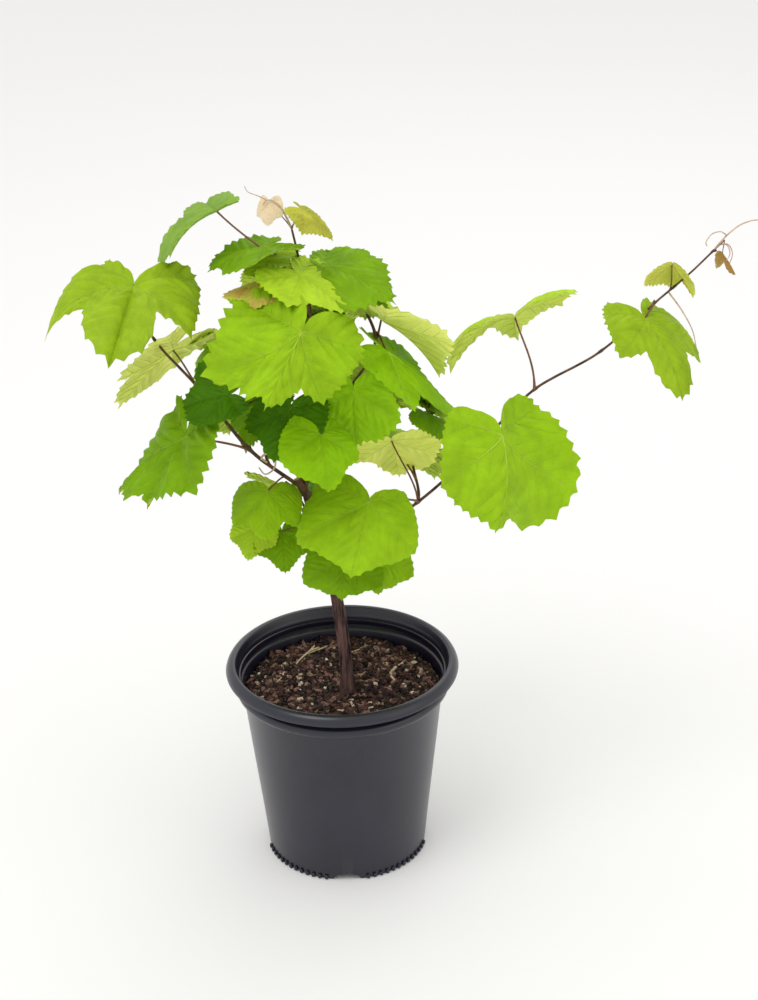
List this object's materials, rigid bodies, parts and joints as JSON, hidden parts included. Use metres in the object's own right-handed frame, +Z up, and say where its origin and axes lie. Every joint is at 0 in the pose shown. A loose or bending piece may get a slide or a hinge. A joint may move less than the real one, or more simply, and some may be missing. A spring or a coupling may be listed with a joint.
{
  "type": "potted grapevine",
  "caption": "Young grapevine in a dark round nursery pot, with leafy canes spreading above bark mix and one long cane reaching to the side.",
  "frame": {"origin": "middle of the pot's flat underside", "axes": "+Z up; +X towards the side that the long cane reaches to; the front of the plant faces -Y"},
  "size_m": [0.4489, 0.2498, 0.487],
  "materials": {
    "pot_plastic": "matte",
    "bark_mix": "rough",
    "vine_bark": "rough",
    "vine_leaf": "satin"
  },
  "bodies": {
    "root": {"back_cane": "vine_bark", "centre_cane_1": "vine_bark", "centre_cane_2": "vine_bark", "leaves_back_foot": "vine_leaf", "leaves_back_left": "vine_leaf", "leaves_back_low": "vine_leaf", "leaves_back_low_left": "vine_leaf", "leaves_back_low_right": "vine_leaf", "leaves_back_middle": "vine_leaf", "leaves_back_right": "vine_leaf", "leaves_back_top": "vine_leaf", "leaves_back_upper": "vine_leaf", "leaves_blush": "vine_leaf", "leaves_bronze": "vine_leaf", "leaves_centre_low": "vine_leaf", "leaves_centre_right": "vine_leaf", "leaves_far_left": "vine_leaf", "leaves_far_right": "vine_leaf", "leaves_front": "vine_leaf", "leaves_heart": "vine_leaf", "leaves_inner_left": "vine_leaf", "leaves_inner_right": "vine_leaf", "leaves_inner_top": "vine_leaf", "leaves_left": "vine_leaf", "leaves_left_shade": "vine_leaf", "leaves_left_under": "vine_leaf", "leaves_light": "vine_leaf", "leaves_low_back_left": "vine_leaf", "leaves_low_back_right": "vine_leaf", "leaves_low_behind_left": "vine_leaf", "leaves_low_behind_right": "vine_leaf", "leaves_low_front": "vine_leaf", "leaves_low_left": "vine_leaf", "leaves_middle": "vine_leaf", "leaves_right": "vine_leaf", "leaves_right_end": "vine_leaf", "leaves_right_tip": "vine_leaf", "leaves_shade_front": "vine_leaf", "leaves_tip": "vine_leaf", "leaves_top": "vine_leaf", "leaves_top_left": "vine_leaf", "leaves_top_light": "vine_leaf", "leaves_top_right": "vine_leaf", "leaves_under_right": "vine_leaf", "leaves_upper_right": "vine_leaf", "left_cane_1": "vine_bark", "left_cane_2": "vine_bark", "pot": "pot_plastic", "right_cane_1": "vine_bark", "right_cane_2": "vine_bark", "right_cane_3": "vine_bark", "right_cane_4": "vine_bark", "second_cane": "vine_bark", "soil": "bark_mix", "trunk": "vine_bark"}
  },
  "joints": []
}
